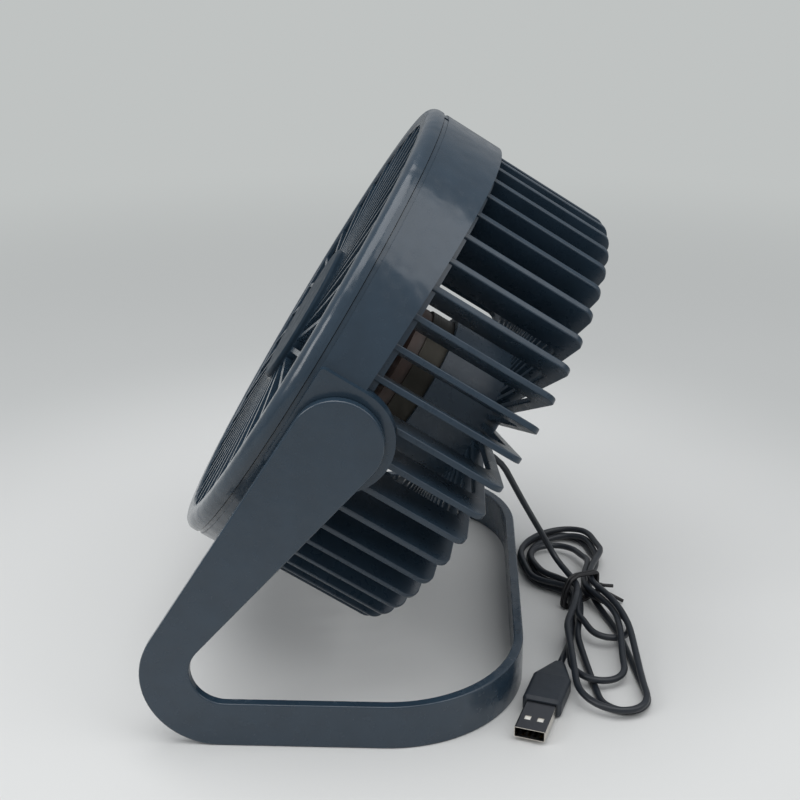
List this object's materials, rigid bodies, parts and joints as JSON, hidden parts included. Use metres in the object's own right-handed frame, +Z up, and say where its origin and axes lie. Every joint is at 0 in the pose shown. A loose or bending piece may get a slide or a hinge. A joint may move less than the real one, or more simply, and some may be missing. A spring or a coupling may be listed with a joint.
{
  "type": "desk fan",
  "caption": "Small desk fan: round head with a slanted-bar front grille and ribbed rear cage, tilting on friction pivots in a bent loop stand, with a tied USB cord.",
  "frame": {"origin": "centre of the bounding box on the table, measured without the cord and plug", "axes": "+Z up, the fan faces -Y and leans back, +X and -X along the pivot line"},
  "size_m": [0.208, 0.2005, 0.2197],
  "materials": {
    "shell_plastic": "satin-gloss dark slate blue moulding",
    "cage_plastic": "satin dark slate blue moulding",
    "cap_plastic": "satin dark slate blue cap, plain",
    "impeller_plastic": "dark moulded blades",
    "button_plastic": "dark button",
    "motor_steel": "drawn steel can",
    "phenolic": "brown phenolic plate",
    "steel": "plain steel",
    "core_steel": "stacked lamination steel",
    "copper": "enamelled copper wire",
    "bronze": "sintered bronze",
    "magnet": "dark ferrite",
    "nylon": "natural nylon",
    "board": "solder-masked board",
    "switch_plastic": "black switch body",
    "wire_sleeve": "insulated conductors",
    "cord_jacket": "black soft jacket",
    "tie_jacket": "black coated twist tie",
    "boot_plastic": "black overmould",
    "shell_steel": "nickel-plated shell",
    "insert_plastic": "black tongue",
    "gold": "plated contacts"
  },
  "bodies": {
    "stand": {"stand_frame": "shell_plastic", "pivot_washers": "nylon", "pivot_retainers": "steel", "pivot_screws": "steel", "cord_lead": "cord_jacket", "cord_hank": "cord_jacket", "cord_tail": "cord_jacket", "cord_tie": "tie_jacket", "plug_boot": "boot_plastic", "plug_shell": "shell_steel", "plug_insert": "insert_plastic", "plug_contacts": "gold"},
    "head": {"front_grille": "shell_plastic", "centre_cap": "cap_plastic", "shroud_band": "shell_plastic", "rear_cage": "cage_plastic", "motor_can": "motor_steel", "motor_end_plate": "phenolic", "motor_bearings": "bronze", "stator_core": "core_steel", "stator_coils": "copper", "control_board": "board", "motor_terminals": "gold", "supply_wires": "wire_sleeve", "switch_body": "switch_plastic", "cord_gland": "cord_jacket"},
    "impeller": {"impeller": "impeller_plastic", "impeller_nut": "steel", "motor_shaft": "steel", "rotor_magnet": "magnet"},
    "button": {"switch_button": "button_plastic"}
  },
  "joints": [
    {"name": "head_tilt", "type": "hinge", "parent": "stand", "child": "head", "pos_m": [0, -0.01216, 0.12397], "axis": [-1, 0, 0], "range_deg": [-77, 58], "deforming": ["cord_lead"]},
    {"name": "impeller_spin", "type": "hinge", "parent": "head", "child": "impeller", "pos_m": [0, -0.01216, 0.12397], "axis": [0, -0.848, 0.5299], "continuous": true},
    {"name": "button_press", "type": "slide", "parent": "head", "child": "button", "axis": [0, -0.848, 0.5299], "range_m": [0, 0.0015], "stiffness_N_per_m": 500, "springref_m": -0.001}
  ]
}
